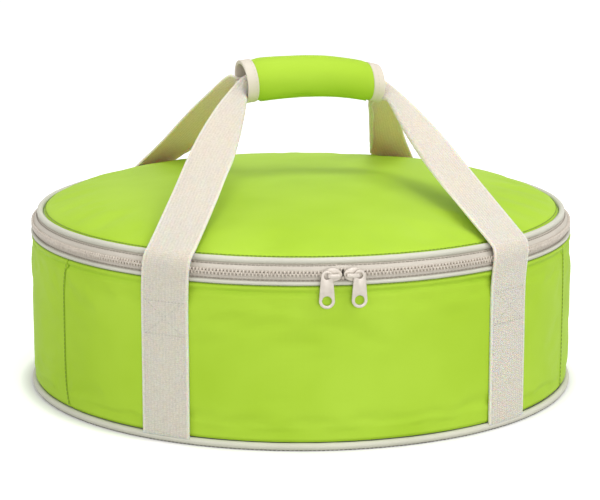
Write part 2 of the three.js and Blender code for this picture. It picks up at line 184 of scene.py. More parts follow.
lime = woven("lime_cloth", (0.385, 0.600, 0.036), (0.435, 0.660, 0.052), 0.55, 0.8, 0.8, 0.10, 0.0)
wrap_cloth = woven("wrap_lining_cloth", (0.58, 0.49, 0.36), (0.66, 0.58, 0.45), 0.8, 0.9, 0.9, 0.12, 0.1)
tape_cloth = woven("zip_tape_cloth", (0.54, 0.495, 0.425), (0.62, 0.57, 0.50), 0.75, 0.7, 1.1, 0.12, 0.05)
piping_cloth = woven("piping_cloth", (0.60, 0.59, 0.495), (0.675, 0.665, 0.565), 0.6, 1.1, 1.1, 0.10, 0.1)
binding_cloth = woven("binding_cloth", (0.68, 0.61, 0.50), (0.76, 0.70, 0.60), 0.7, 0.8, 0.8, 0.10, 0.1)

foil = paint("foil_lining", (0.62, 0.63, 0.64), 0.32, {"Metallic": 0.75})
emboss(foil, blend_sum(foil, clouds(foil, 70, 4), threads(foil, 6 * MM, 6 * MM), 0.4), 0.35, 0.6 * MM)
print("cloths:", ", ".join(made.name for made in (lime, wrap_cloth, tape_cloth, piping_cloth, binding_cloth)))

# %% [markdown]
# Webbing is coarser than cloth: it has ribs along its length, each rib is crossed by the weft, and the yarn
# is specked. It is also thin enough to let some light through. Subsurface scattering does that, and it warms
# the side in the shade, where a plain shader would turn grey.

# %% Webbing
strap_width = 36 * MM


def webbing_cloth():
    """Ribbed webbing, paler along both edges of its UV map."""
    glow = {"Subsurface Weight": 0.7, "Subsurface Scale": 5 * MM, "Subsurface Radius": (1.0, 0.5, 0.2)}
    made = paint("webbing", (0.72, 0.66, 0.56), 0.72, {"Sheen Weight": 0.15, "Sheen Roughness": 0.5} | glow)
    ribs = threads(made, 2.4 * MM, 1.3 * MM)
    across = node(made, "SeparateXYZ", {0: node(made, "TexCoord").outputs["UV"]}).outputs["X"]
    off_middle = node(made, "Math", {0: across, 1: strap_width / 2}, operation="SUBTRACT").outputs[0]
    off_middle = node(made, "Math", {0: off_middle}, operation="ABSOLUTE").outputs[0]
    limits = {"Value": off_middle, "From Min": 15.8 * MM, "From Max": 17 * MM}
    pale_edges = node(made, "MapRange", limits).outputs["Result"]
    specks = clouds(made, 750, 2)
    tone = blend_sum(made, blend_sum(made, specks, ribs, 0.3), pale_edges, 0.35)
    tint(made, tone, (0.60, 0.535, 0.45), (0.805, 0.73, 0.635), 0.3, 1.0)
    emboss(made, blend_sum(made, ribs, specks, 0.8), 0.6, 0.35 * MM)
    return made


webbing = webbing_cloth()
print("webbing is", round(strap_width / MM), "mm wide")

# %% [markdown]
# ## Harder finishes
# The zip's teeth are moulded plastic, and its sliders are cast metal with a slightly uneven satin paint. The
# foam and the board are closed in, and the brushed loops show when the wrap is open.

# %% Plastic, paint, foam and board
teeth_plastic = paint("moulded_teeth", (0.66, 0.60, 0.51), 0.38)
tint(teeth_plastic, clouds(teeth_plastic, 400), (0.53, 0.465, 0.395), (0.67, 0.605, 0.52))

slider_paint = paint("slider_paint", (0.60, 0.54, 0.47), 0.4, {"Metallic": 0.2, "Coat Weight": 0.15})
tint(slider_paint, clouds(slider_paint, 250, 4), (0.53, 0.475, 0.41), (0.62, 0.56, 0.49))
emboss(slider_paint, clouds(slider_paint, 1500), 0.12, 0.1 * MM)

foam = paint("closed_cell_foam", (0.88, 0.88, 0.85), 0.9)
emboss(foam, clouds(foam, 900), 0.5, 0.4 * MM)
tint(foam, clouds(foam, 60), (0.84, 0.84, 0.80), (0.90, 0.90, 0.87))

board = paint("stiffener_board", (0.36, 0.36, 0.35), 0.7)
tint(board, clouds(board, 40), (0.33, 0.33, 0.32), (0.39, 0.39, 0.38))

brushed_loops = paint("brushed_loops", (0.62, 0.55, 0.43), 0.95)
emboss(brushed_loops, clouds(brushed_loops, 1800), 0.8, 0.5 * MM)
tint(brushed_loops, clouds(brushed_loops, 500), (0.54, 0.47, 0.36), (0.66, 0.59, 0.47))
print("hard finishes:", ", ".join(made.name for made in (teeth_plastic, slider_paint, foam, board)))

# %% [markdown]
# Thread is twisted, so it has two shades of one colour. On the webbing and the bindings it takes the colour
# of what it holds. The olive, brown and dark threads are painted shade, darker than the cloth they lie on.


# %% Threads
def thread(name, colour):
    """Twisted thread: two shades of one colour along its length."""
    made = paint(name, colour, 0.6)
    twist = clouds(made, 900)
    tint(made, twist, tuple(0.85 * part for part in colour), colour)
    emboss(made, twist, 0.4, 0.2 * MM)
    return made


pale_thread = thread("pale_thread", (0.71, 0.645, 0.55))
beige_thread = thread("beige_thread", (0.58, 0.52, 0.43))
# The next three threads are painted shade: dark lines by the piping, in the seams and under the drum's foot.
brown_shade_thread = thread("brown_shade_thread", (0.34, 0.30, 0.245))
olive_shade_thread = thread("olive_shade_thread", (0.20, 0.30, 0.03))
dark_shade_thread = thread("dark_shade_thread", (0.13, 0.12, 0.10))
print(len(bpy.data.materials), "materials made")

# %% [markdown]
# ## The stage
# The floor is pale and takes the soft shadow round the drum's foot. What the camera sees of it is whiter than
# what lights the drum, and past that shadow it glows, so that the picture ends in plain white. The Light Path
# node tells the two apart, and polished metal shows the white floor as well.

# %% Floor
floor_shade = 0.55  # the floor as it lights the drum
shown_shade = 0.97  # the floor as it is seen
floor_glow = 0.42
shadow_start = 202 * MM  # the drum's foot
shadow_end = 213 * MM


def rays_seen(made):
    """1 for a ray that shows the stage: from the camera, off gloss or through glass."""
    path = node(made, "LightPath")
    total = path.outputs["Is Camera Ray"]
    for kind in ("Is Glossy Ray", "Is Transmission Ray"):
        total = node(made, "Math", {0: total, 1: path.outputs[kind]}, operation="ADD").outputs[0]
    return total


def floor_white():
    """A pale floor that is seen as white, apart from the shadow round the drum."""
    finish = {"Specular IOR Level": 0.0, "Emission Color": (1, 1, 1, 1)}
    made = paint("floor_white", (floor_shade,) * 3, 1.0, finish)
    shown = rays_seen(made)
    shade = node(made, "MapRange", {"Value": shown, "To Min": floor_shade, "To Max": shown_shade})
    feed(made, "Base Color", shade.outputs["Result"])
    place = node(made, "TexCoord").outputs["Object"]
    reach = node(made, "VectorMath", {0: place}, operation="LENGTH").outputs["Value"]
    ring = {"Value": reach, "From Min": shadow_start, "From Max": shadow_end, "To Max": floor_glow}
    clear = node(made, "MapRange", ring).outputs["Result"]
    feed(made, "Emission Strength", node(made, "Math", {0: shown, 1: clear}, operation="MULTIPLY").outputs[0])
    return made


def stage_floor():
    """A flat floor, far larger than the picture."""
    bm = bmesh.new()
    bmesh.ops.create_grid(bm, x_segments=2, y_segments=2, size=6)
    mesh = bpy.data.meshes.new("floor")
    bm.to_mesh(mesh)
    bm.free()
    mesh.materials.append(floor_white())
    floor = bpy.data.objects.new("floor", mesh)
    scene.collection.objects.link(floor)


stage_floor()
print("floor laid")

# %% [markdown]
# A lamp above makes the straps' shadows on the lid, wide lamps in front and at both sides light the wall, and
# a plain world lights the rest. Large lamps far away give the soft light of a studio.


# %% World and lamps
def stage_world(ambient):
    """A plain white world that lights the drum at this level and is seen as white."""
    world = bpy.data.worlds.new("studio")
    world.use_nodes = True
    scene.world = world
    background = world.node_tree.nodes["Background"]
    background.inputs["Color"].default_value = (1, 1, 1, 1)
    strength = node(world, "MapRange", {"Value": rays_seen(world), "To Min": ambient, "To Max": 1})
    world.node_tree.links.new(strength.outputs["Result"], background.inputs["Strength"])


def stage_lamp(name, place, target, size, power):
    """A round lamp that faces a target."""
    lamp = bpy.data.lights.new(name, "AREA")
    lamp.shape = "DISK"
    lamp.size = size
    lamp.energy = power
    holder = bpy.data.objects.new(name, lamp)
    holder.location = place
    holder.rotation_euler = (Vector(target) - Vector(place)).to_track_quat("-Z", "Y").to_euler()
    scene.collection.objects.link(holder)


stage_world(ambient=0.62)
stage_lamp("top_lamp", (0.1, -0.1, 1.7), (0, 0, 0.1), size=0.5, power=6)
stage_lamp("front_lamp", (0.2, -2.4, 0.5), (0, 0, 0.15), size=1.2, power=20)
stage_lamp("left_lamp", (-2.2, -0.6, 0.8), (0, 0, 0.1), size=1.4, power=10)
stage_lamp("right_lamp", (1.2, -0.9, 1.8), (0, 0, 0.15), size=1.2, power=13)
print(len(bpy.data.lights), "lamps set")

# %% [markdown]
# ## Helpers for meshes
# Almost everything on the carrier lies round its axis, so places are given by an angle, a radius and a
# height. `piece` makes a finished mesh into an object that rides on one of the bodies and stands for the
# solids that it covers.


# %% Places and pieces
def polar(angle, radius, height):
    """A point on the drum; the angle is counted from the front, to the right."""
    turn = math.radians(angle)
    return Vector((radius * math.sin(turn), -radius * math.cos(turn), height))


def ease(low, high, value):
    """0 below low, 1 above high, and smooth between them."""
    share = min(1.0, max(0.0, (value - low) / (high - low)))
    return share * share * (3 - 2 * share)


def swell(value, middle, width):
    """A bell of height 1 round a middle."""
    return math.exp(-(((value - middle) / width) ** 2))


def piece(name, bm, made, body, nodes=()):
    """Makes a mesh into a named piece that rides on a body and stands for these solids."""
    mesh = bpy.data.meshes.new(name)
    bm.to_mesh(mesh)
    bm.free()
    mesh.polygons.foreach_set("use_smooth", [True] * len(mesh.polygons))
    mesh.materials.append(made)
    item = bpy.data.objects.new(name, mesh)
    scene.collection.objects.link(item)
    if nodes:
        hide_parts(*nodes)
    if body:
        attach(item, body)
    print(name, len(mesh.polygons), "faces")
    return item


# %% [markdown]
# ## The wall
# Two panels of cloth are stretched round the foam and sewn together at an upright seam on each side. Under
# the zip the cloth is turned over and stitched, so it has a small lip there, with puckers below it. A sheet
# starts as a flat grid, which keeps its flat size as its UV map, and then every point is moved to its place.


# %% Flat cloth
def even(share):
    """Leaves the points of a grid where they are."""
    return share


def to_ends(share):
    """Crowds the points of a grid towards its two ends."""
    return 0.5 - 0.5 * math.cos(math.pi * share)


def cloth(columns, rows, width, length, place, spread=even):
    """A flat grid of that size whose points are moved to place(across, along), each from 0 to 1."""
    bm = bmesh.new()
    flat = bm.loops.layers.uv.new("UVMap")
    bmesh.ops.create_grid(bm, x_segments=columns, y_segments=rows, size=0.5)
    for point in bm.verts:
        point.co.x = spread(point.co.x + 0.5)
        point.co.y = spread(point.co.y + 0.5)
    for face in bm.faces:
        for loop in face.loops:
            loop[flat].uv = (loop.vert.co.x * width, loop.vert.co.y * length)
    for point in bm.verts:
        point.co = place(point.co.x, point.co.y)
    return bm


# %% [markdown]
# A panel is such a strip, bent round the drum, with its two side edges turned in at the seam. The folds are
# sums of bells and noise. They could be sculpted by hand, but a formula follows the wall when its size
# changes.

# %% Wall shape
panel_low, panel_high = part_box("wall_front_panel")
wall_radius = -panel_low.y
wall_bottom = panel_low.z
wall_top = panel_high.z
left_seam = -math.degrees(math.asin(-panel_low.x / wall_radius))
right_seam = math.degrees(math.asin(panel_high.x / wall_radius))
seam_depth = 3.2 * MM
seam_width = 0.34  # half the width of the groove at a seam, in degrees
seam_bows = {-1: (1.7, 2.2), 1: (0.6, 1.4)}  # how far a seam leans forward at its foot and head, in degrees
columns_per_degree = 1.25
wall_rows = 60
print("seams at", round(left_seam, 1), "and", round(right_seam, 1), "degrees from the front")


def wall_swell(angle, height):
    """How far the stretched cloth stands out from a plain drum."""
    below = wall_top - height
    pull = noise.noise(Vector((angle * 0.16, height * 10, 3.1)))
    lip = 0.3 * swell(below, 2.0 * MM, 1.5 * MM) - (1.5 + 1.4 * pull) * swell(below, 5.2 * MM, 1.4 * MM)
    slant = noise.noise(Vector((angle * 0.16 + height * 60, height * 12, 5.3)))
    fading = math.exp(-max(0.0, below - 5 * MM) / (14 * MM)) * ease(2 * MM, 6 * MM, below)
    puckers = (1.3 * slant - 0.4) * fading
    creases = 0.9 * noise.noise(Vector((angle * 0.035, height * 9, 7.7)))
    tuck = -1.3 * (1 - ease(0, 1.0 * MM, below)) - 1.2 * (1 - ease(0, 2.0 * MM, height - wall_bottom))
    return (lip + puckers + creases + tuck - 0.6) * MM


def seam_lean(angle, along):
    """How far a seam leans to the front at a share of the wall's height, as a change of its angle."""
    side = 1 if math.sin(math.radians(angle)) > 0 else -1
    return -side * seam_bows[side][along > 0.5] * abs(2 * along - 1) ** 5


# %% Wall panels
def wall_panel(name, first, last, node_name):
    """One panel between two angles, with its side edges turned in."""
    span = last - first
    width = math.radians(span) * wall_radius
    height = wall_top - wall_bottom

    def place(across, along):
        level = wall_bottom + height * along
        angle = first + span * across
        to_seam = min(across, 1 - across) * span
        angle += seam_lean(angle, along) * (1 - ease(0, 9, to_seam))
        groove = seam_depth * (1 - ease(0, seam_width, to_seam))
        return polar(angle, wall_radius + wall_swell(angle, level) - groove, level)

    bm = cloth(round(span * columns_per_degree), wall_rows, width, height, place, to_ends)
    item = piece(name, bm, lime, "tub", [node_name])
    return item


wall_front = wall_panel("wall_front_cloth", left_seam, right_seam, "wall_front_panel")
wall_back = wall_panel("wall_back_cloth", right_seam, 360 + left_seam, "wall_back_panel")

# %% [markdown]
# ## Piping
# Piping is a cord sewn into a folded strip of cloth and caught in a seam. Three rings of it mark the
# drum's edges: round the base, under the zip and round the lid. A circle is spun into each ring, and it is
# made a little uneven, as sewn piping is. Spin is the shortest way to any shape that goes round the drum.


# %% Turned shapes
def turned(profile, steps, closed=False):
    """Spins a profile of (radius, height) points round the drum's axis."""
    bm = bmesh.new()
    along = bm.verts.layers.float.new("along")
    points = [bm.verts.new(polar(0, radius, height)) for radius, height in profile]
    edges = [bm.edges.new(pair) for pair in zip(points, points[1:])]
    for first, second in zip(points, points[1:]):
        second[along] = first[along] + (second.co - first.co).length
    if closed:
        edges.append(bm.edges.new((points[-1], points[0])))
    bmesh.ops.spin(
        bm, geom=points + edges, axis=(0, 0, 1), cent=(0, 0, 0),
        angle=math.radians(360), steps=steps, use_merge=True)
    bmesh.ops.remove_doubles(bm, verts=bm.verts, dist=0.01 * MM)
    bmesh.ops.recalc_face_normals(bm, faces=bm.faces)
    unroll(bm, along)
    return bm


def unroll(bm, along):
    """Gives a turned mesh a UV map in metres: round the drum, and along its profile."""
    flat = bm.loops.layers.uv.new("UVMap")
    for face in bm.faces:
        middle = face.calc_center_median()
        reach = math.hypot(middle.x, middle.y)
        centre = math.atan2(middle.x, -middle.y)
        for loop in face.loops:
            spot = loop.vert.co
            turn = math.atan2(spot.x, -spot.y) - centre
            turn = (turn + math.pi) % (2 * math.pi) - math.pi
            loop[flat].uv = ((centre + turn) * reach, loop.vert[along])


# %% Piping rings
def piping(name, node_name, body, inset=0):
    """A ring of piping in place of its solid."""
    low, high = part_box(node_name)
    radius = (high.z - low.z) / math.sqrt(3)  # the solid's section has six sides
    middle = high.x - radius - inset
    height = (low.z + high.z) / 2
    corners = 12
    turns = [2 * math.pi * i / corners for i in range(corners)]
    section = [(middle + radius * math.cos(turn), height + radius * math.sin(turn)) for turn in turns]
    bm = turned(section, 300, closed=True)
    for point in bm.verts:
        angle = math.degrees(math.atan2(point.co.x, -point.co.y))
        centre = polar(angle, middle, height)
        uneven = 1 + 0.05 * noise.noise(point.co * 180) + 0.04 * noise.noise(point.co * 40)
        point.co = centre + (point.co - centre) * uneven
    return piece(name, bm, piping_cloth, body, [node_name])


piping("base_piping_cord", "bottom_piping", "tub")
piping("zip_piping_cord", "lower_zip_piping", "tub", 0.6 * MM)
piping("lid_piping_cord", "lid_piping", "lid")

# %% [markdown]
# ## The lid
# The lid's cloth is one round panel that puffs up over its foam. Its curve is flat at the crown and steep
# at the rim, and the cloth gathers a little where the piping holds it. The same curve, spun with other sizes,
# later gives the foam and the lining under it.

# %% Lid shape
lid_low, lid_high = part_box("lid_top_panel")
lid_radius = lid_high.x
lid_edge = lid_low.z
lid_rise = lid_high.z - lid_low.z
dome_power = 1.25
dome_lean = 4.5 * MM  # the crown lies a little to the right
print("lid is", round(2 * lid_radius / MM), "mm across and rises", round(lid_rise / MM), "mm")


def dome_profile(radius, rise, steps):
    """Points of (radius, height) from the crown to the rim."""
    turns = [math.pi / 2 * i / steps for i in range(steps + 1)]
    return [(radius * math.sin(t), lid_edge + rise * max(0.0, math.cos(t)) ** dome_power) for t in turns]


# %% Lid panel
def round_sheet(item, radius):
    """Returns the sheet as it is."""
    return item


def lid_cloth():
    """The lid's cloth, with its hem under the piping."""
    hem = [(lid_radius + 0.6 * MM, lid_edge - 1.9 * MM), (lid_radius + 2 * MM, lid_edge - 2.3 * MM)]
    bm = turned(dome_profile(lid_radius, lid_rise - 1 * MM, 36) + hem, 200)
    flat = bm.loops.layers.uv["UVMap"]
    for face in bm.faces:
        for loop in face.loops:
            loop[flat].uv = loop.vert.co.xy
    for point in bm.verts:
        reach = math.hypot(point.co.x, point.co.y) / lid_radius
        around = Vector((point.co.x, point.co.y, 0)).normalized()
        gather = 0.7 * noise.noise(around * 9) * ease(0.75, 0.95, reach) * (1 - ease(0.97, 1, reach))
        puff = 1.2 * noise.noise(Vector((point.co.x * 9, point.co.y * 9, 1.7))) * (1 - ease(0.7, 1, reach))
        tuck = 1.3 * ease(0.985, 1, reach) * (reach < 1.001)
        point.co.z += (gather + puff - tuck) * MM
        point.co.x += dome_lean * max(0.0, 1 - reach**2)
    item = piece("lid_cloth", bm, lime, "lid", ["lid_top_panel"])
    return round_sheet(item, lid_radius)


lid_top = lid_cloth()

# %% [markdown]
# ## Puffing up the cloth
# Cloth over foam is never quite smooth: it is cut a little large and pushed out from inside. A short cloth
# simulation does that well. The sewn edges are held, a light pressure pushes the rest out, and after twenty
# steps the shape is kept. No point may move further than a limit, so the sizes stay right.

# %% Hold the seams
held_below_zip = 7 * MM
held_above_base = 3 * MM
held_at_seam = 0.6  # in degrees
held_fade = 8 * MM  # the way from held to free


def hold(item, firmness):
    """Marks how firmly each point of a sheet is held, from 0 to 1."""
    held = item.vertex_groups.new(name="held")
    for point in item.data.vertices:
        held.add([point.index], firmness(point.co), "REPLACE")


def sewn_to_wall(spot):
    """1 at the edges of the wall's panels, and 0 inside them."""
    angle = math.degrees(math.atan2(spot.x, -spot.y))
    to_seam = min(abs(angle - left_seam), abs(angle - right_seam)) - held_at_seam
    to_seam = math.radians(to_seam) * wall_radius
    edge = min(wall_top - spot.z - held_below_zip, spot.z - wall_bottom - held_above_base, to_seam)
    return 1 - ease(0, held_fade, edge)


def sewn_to_lid(spot):
    """1 at the lid's rim, and 0 inside it."""
    return ease(lid_radius - 12 * MM, lid_radius - 3 * MM, math.hypot(spot.x, spot.y))


hold(wall_front, sewn_to_wall)
hold(wall_back, sewn_to_wall)
hold(lid_top, sewn_to_lid)
print("seams held on", ", ".join(item.name for item in (wall_front, wall_back, lid_top)))


# %% Cloth simulation
def inflate(items, slack, pressure, steps, limit):
    """Lets held sheets puff up together, and keeps the shape that they reach."""
    for item in items:
        puff = item.modifiers.new("puff", "CLOTH").settings
        puff.vertex_group_mass = "held"
        puff.effector_weights.gravity = 0
        puff.use_pressure = True
        puff.uniform_pressure_force = pressure
        puff.shrink_min = -slack
        puff.bending_stiffness = 1.5
    for step in range(1, steps + 1):
        scene.frame_set(step)
    graph = bpy.context.evaluated_depsgraph_get()
    for item in items:
        puffed = bpy.data.meshes.new_from_object(item.evaluated_get(graph))
        furthest = 0
        for before, after in zip(item.data.vertices, puffed.vertices):
            move = after.co - before.co
            furthest = max(furthest, move.length)
            if move.length > limit:
                after.co = before.co + move.normalized() * limit
        item.modifiers.clear()
        item.data = puffed
        print(item.name, "moved up to", round(furthest / MM, 1), "mm")
    scene.frame_set(1)


inflate([wall_front, wall_back, lid_top], slack=0.005, pressure=1.0, steps=20, limit=1.5 * MM)

# %% [markdown]
# Up to here the panels have no thickness, because a simulation runs best on a single layer. A Solidify
# modifier gives each its millimetre of cloth, on the inside, so that the outside keeps its size.


# %% Thickness
def thicken(item, thickness, offset=-1.0, rim=0.0):
    """Gives a sheet its thickness and rounds its rim."""
    wall = item.modifiers.new("thickness", "SOLIDIFY")
    wall.thickness = thickness
    wall.offset = offset
    if rim:
        edge = item.modifiers.new("rim", "BEVEL")
        edge.width = rim
        edge.segments = 2
        edge.limit_method = "ANGLE"
    return item


for sheet in (wall_front, wall_back, lid_top):
    thicken(sheet, 1.0 * MM)
print("cloth is", round(sheet.modifiers["thickness"].thickness / MM, 2), "mm thick")

# %% [markdown]
# ## The zip
# The zip runs round the drum from one end of the back hinge to the other. Each half is a woven tape with a
# row of moulded teeth on its edge. The lower tape stands upright, and the upper one leans in to the lid's
# piping. Between the two sliders the halves part a little, and tapes and teeth share the function for that.

# %% Zip places
zip_arc = 163  # how far the zip reaches from the front to each side, in degrees
teeth_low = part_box("zip_lower_teeth")
teeth_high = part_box("zip_upper_teeth")
tape_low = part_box("zip_lower_tape")
tape_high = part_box("zip_upper_tape")
tape_radius = -tape_high[0].y
piping_low, piping_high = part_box("lid_piping")
tape_lean = tape_radius - (piping_high.x - (piping_high.z - piping_low.z) / math.sqrt(3))
tape_thickness = 0.7 * MM
upper_tape_top = tape_high[1].z + 0.8 * MM


def slider_turn(side):
    """The angle at which a slider stands, read from its solid."""
    low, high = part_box(side + "_slider")
    return math.degrees(math.atan2((low.x + high.x) / 2, wall_radius))


meeting = (slider_turn("left") + slider_turn("right")) / 2
print("the sliders meet", round(meeting, 1), "degrees from the front")


def parting(angle):
    """How far each half of the zip is pushed off its middle between the two sliders."""
    off_middle = math.radians(abs(angle - meeting)) * tape_radius
    return 2.0 * MM * (1 - ease(1.5 * MM, 7 * MM, off_middle))


def on_upper_tape(angle, along):
    """A point on the upper tape, which leans in to the lid's piping."""
    bottom = tape_high[0].z + parting(angle)
    radius = tape_radius + 0.5 * MM - tape_lean * along**2.4
    return polar(angle, radius, bottom + (upper_tape_top - bottom) * along)


def on_lower_tape(angle, along):
    """A point on the lower tape, which stands upright."""
    top = tape_low[1].z - parting(angle)
    return polar(angle, tape_radius + 0.5 * MM, tape_low[0].z + (top - tape_low[0].z) * along)


# %% Zip tapes
def zip_tape(name, node_name, spot, height, body):
    """One tape, laid along its places with a little slack."""
    width = math.radians(2 * zip_arc) * tape_radius

    def place(across, along):
        angle = zip_arc * (2 * across - 1)
        slack = 0.15 * MM * noise.noise(Vector((angle * 0.15, along * 2, 5)))
        return spot(angle, along) + polar(angle, slack, 0)

    bm = cloth(320, 10, width, height, place)
    item = piece(name, bm, tape_cloth, body, [node_name])
    return thicken(item, tape_thickness)


lower_height = tape_low[1].z - tape_low[0].z
upper_height = math.hypot(upper_tape_top - tape_high[0].z, tape_lean)
zip_tape("zip_tape_below", "zip_lower_tape", on_lower_tape, lower_height, "tub")
zip_tape("zip_tape_above", "zip_upper_tape", on_upper_tape, upper_height, "lid")

# %% [markdown]
# One tooth is a bevelled block, spun into a row of copies, and the two rows are half a step apart, so that
# they mesh. With hundreds of copies, a tooth has to be simple: six faces and one narrow bevel.

# %% Zip teeth
tooth_pitch = 2.5 * MM
tooth_width = 1.25 * MM
tooth_radius = -teeth_low[0].y
tooth_depth = 1.9 * MM
tooth_bevel = 0.32 * MM
teeth_arc = zip_arc - 1.1  # the teeth end a little before the tape
mesh_depth = 0.55 * MM  # how far each row reaches past the middle of the zip


def round_off(bm, edges, width, segments):
    """Bevels edges to a round."""
    bmesh.ops.bevel(
        bm, geom=edges, offset=width, offset_type="OFFSET", affect="EDGES",
        segments=segments, profile=0.5, material=-1)


def rounded_block(bm, size, middle, radius, segments):
    """A block of that size with rounded edges."""
    place = Matrix.Translation(middle) @ Matrix.Diagonal((*size, 1))
    corners = bmesh.ops.create_cube(bm, size=1, matrix=place)["verts"]
    edges = {edge for corner in corners for edge in corner.link_edges}
    round_off(bm, list(edges), radius, segments)


def zip_teeth(name, node_name, bottom, top, shift, way, body):
    """A row of teeth, pushed up or down where the sliders part it."""
    count = round(math.radians(2 * teeth_arc) * tooth_radius / tooth_pitch)
    step = 2 * teeth_arc / count
    bm = bmesh.new()
    middle = (0, tooth_depth / 2 - tooth_radius, (bottom + top) / 2)
    rounded_block(bm, (tooth_width, tooth_depth, top - bottom), middle, tooth_bevel, 1)
    first = Matrix.Rotation(math.radians((shift + 0.5) * step - teeth_arc), 3, "Z")
    bmesh.ops.rotate(bm, verts=bm.verts, cent=(0, 0, 0), matrix=first)
    bmesh.ops.spin(
        bm, geom=bm.verts[:] + bm.edges[:] + bm.faces[:], axis=(0, 0, 1), cent=(0, 0, 0),
        angle=math.radians(step * (count - 1)), steps=count - 1, use_duplicate=True)
    for point in bm.verts:
        point.co.z += way * parting(math.degrees(math.atan2(point.co.x, -point.co.y)))
    return piece(name, bm, teeth_plastic, body, [node_name])


zip_middle = (teeth_low[1].z + teeth_high[0].z) / 2
zip_teeth("zip_teeth_below", "zip_lower_teeth", teeth_low[0].z, zip_middle + mesh_depth, 0, -1, "tub")
zip_teeth("zip_teeth_above", "zip_upper_teeth", zip_middle - mesh_depth, teeth_high[1].z, 0.5, 1, "lid")


# %% Zip stops
def zip_stop(name, node_name):
    """A small metal block at one end of the zip."""
    low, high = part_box(node_name)
    bm = bmesh.new()
    rounded_block(bm, high - low, (low + high) / 2, 0.3 * MM, 2)
    return piece(name, bm, slider_paint, "tub", [node_name])


zip_stop("left_end_stop", "zip_stop_left")
zip_stop("right_end_stop", "zip_stop_right")

# %% [markdown]
# At the back, where the zip ends, a strip of tape joins the lid to the tub, and it bends when the lid opens.
# It is one sheet.

# %% Back hinge
hinge_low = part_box("back_hinge_lower")[0].z
hinge_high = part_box("back_hinge_upper")[1].z
hinge_arc = 180 - zip_arc


def freeze(item):
    """Applies a piece's modifiers, so that its mesh is final."""
    graph = bpy.context.evaluated_depsgraph_get()
    mesh = bpy.data.meshes.new_from_object(item.evaluated_get(graph))
    item.modifiers.clear()
    item.data = mesh
    return item


def hinge_strip():
    """The strip at the back, which stands for both its halves."""
    def place(across, along):
        angle = 180 - hinge_arc + 2 * hinge_arc * across
        height = hinge_low + (hinge_high - hinge_low) * along
        lean = tape_lean * ease(zip_middle, hinge_high, height)
        return polar(angle, tape_radius - lean, height)

    width = math.radians(2 * hinge_arc) * tape_radius
    height = hinge_high - hinge_low
    bm = cloth(40, 20, width, height, place)
    halves = ["back_hinge_lower", "back_hinge_upper"]
    item = piece("back_hinge_cloth", bm, tape_cloth, None, halves)
    freeze(thicken(item, 1.1 * MM, rim=0.3 * MM))
    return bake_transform(item)


hinge_strip()

# %% [markdown]
# ## Sliders and pullers
# Two sliders meet nose to nose at the front. Each has a shield-shaped crown plate, a back plate behind the
# teeth, and a bridge along the track. A plate starts as a circle that is pulled to a shield, extruded and
# bevelled. The bridge is three bevelled blocks. All of it is modelled at the origin and then moved round the
# drum.

# %% Slider sizes
slider_length = 12.4 * MM
slider_height = 9.6 * MM
slider_face = 2.1 * MM  # front of the crown plate, out from the wall
crown_thickness = 1.5 * MM
back_face = -6.4 * MM  # front of the back plate, which lies behind the teeth
back_thickness = 1 * MM
back_share = 0.85  # the back plate's size, as a share of the crown plate's
bridge_reach = 6.4 * MM  # outside of the bridge, out from the wall
bridge_bar = (8.6 * MM, 1.6 * MM, 2.7 * MM)
bridge_shift = 0.5 * MM  # how far the bridge lies towards the nose
bridge_leg = 3.4 * MM  # from the bridge's middle to each of its legs
print("slider is", round(slider_length / MM, 1), "x", round(slider_height / MM, 1), "mm")


# %% Sliders
def crown_plate(bm, nose, front, thickness, shrink):
    """A rounded plate, a little narrower at its tail, with a bevelled front."""
    upright = Matrix.Rotation(math.pi / 2, 4, "X")
    rim = bmesh.ops.create_circle(bm, cap_ends=True, radius=1, segments=32, matrix=upright)["verts"]
    for point in rim:
        x, z = point.co.x, point.co.z
        squareness = 1.15 if nose * x > 0 else 0.65  # the nose is pointed and the tail is square
        wide = math.copysign(abs(x) ** squareness, x) * shrink * slider_length / 2
        high = math.copysign(abs(z) ** squareness, z) * shrink * slider_height / 2
        point.co = Vector((wide, -front + thickness, high * (1 - 0.2 * ease(0, 1, -nose * x))))
    face = rim[0].link_faces[0]
    skin = bmesh.ops.extrude_face_region(bm, geom=[face])
    moved = [g for g in skin["geom"] if isinstance(g, bmesh.types.BMVert)]
    bmesh.ops.translate(bm, verts=moved, vec=(0, -thickness, 0))
    top = [g for g in skin["geom"] if isinstance(g, bmesh.types.BMFace)]
    round_off(bm, list(top[0].edges), 0.5 * MM, 3)


def settle(bm, side):
    """Moves a mesh, modelled at the wall's front with its middle at the origin, to a slider's place."""
    bmesh.ops.translate(bm, verts=bm.verts, vec=(0, -wall_radius, zip_middle))
    turn = Matrix.Rotation(math.radians(slider_turn(side)), 3, "Z")
    bmesh.ops.rotate(bm, verts=bm.verts, cent=(0, 0, 0), matrix=turn)
    bmesh.ops.recalc_face_normals(bm, faces=bm.faces)


def slider(side, nose):
    """A slider whose nose points to the right (1) or to the left (-1)."""
    bm = bmesh.new()
    crown_plate(bm, nose, slider_face, crown_thickness, 1)
    crown_plate(bm, nose, back_face, back_thickness, back_share)
    bridge = nose * bridge_shift
    rounded_block(bm, bridge_bar, (bridge, bridge_bar[1] / 2 - bridge_reach, 0), 0.65 * MM, 3)
    leg = (1.7 * MM, bridge_reach - slider_face + 0.2 * MM, 2.2 * MM)
    middle = 0.6 * MM - (bridge_reach + slider_face) / 2
    for end in (-bridge_leg, bridge_leg):
        rounded_block(bm, leg, (bridge + end, middle, 0), 0.5 * MM, 2)
    settle(bm, side)
    own = side + "_slider"
    return piece(own + "_body", bm, slider_paint, own, [own])


slider("left", 1)
slider("right", -1)

# %% [markdown]
# The puller's eye loops round the outer end of the bridge, and the tab hangs from it, with a round hole for a
# cord. It is cut from a plate: an outline of two arcs and two holes is filled, extruded and bevelled. Holes
# could also be cut into a solid plate afterwards, but that leaves an untidy mesh to bevel.

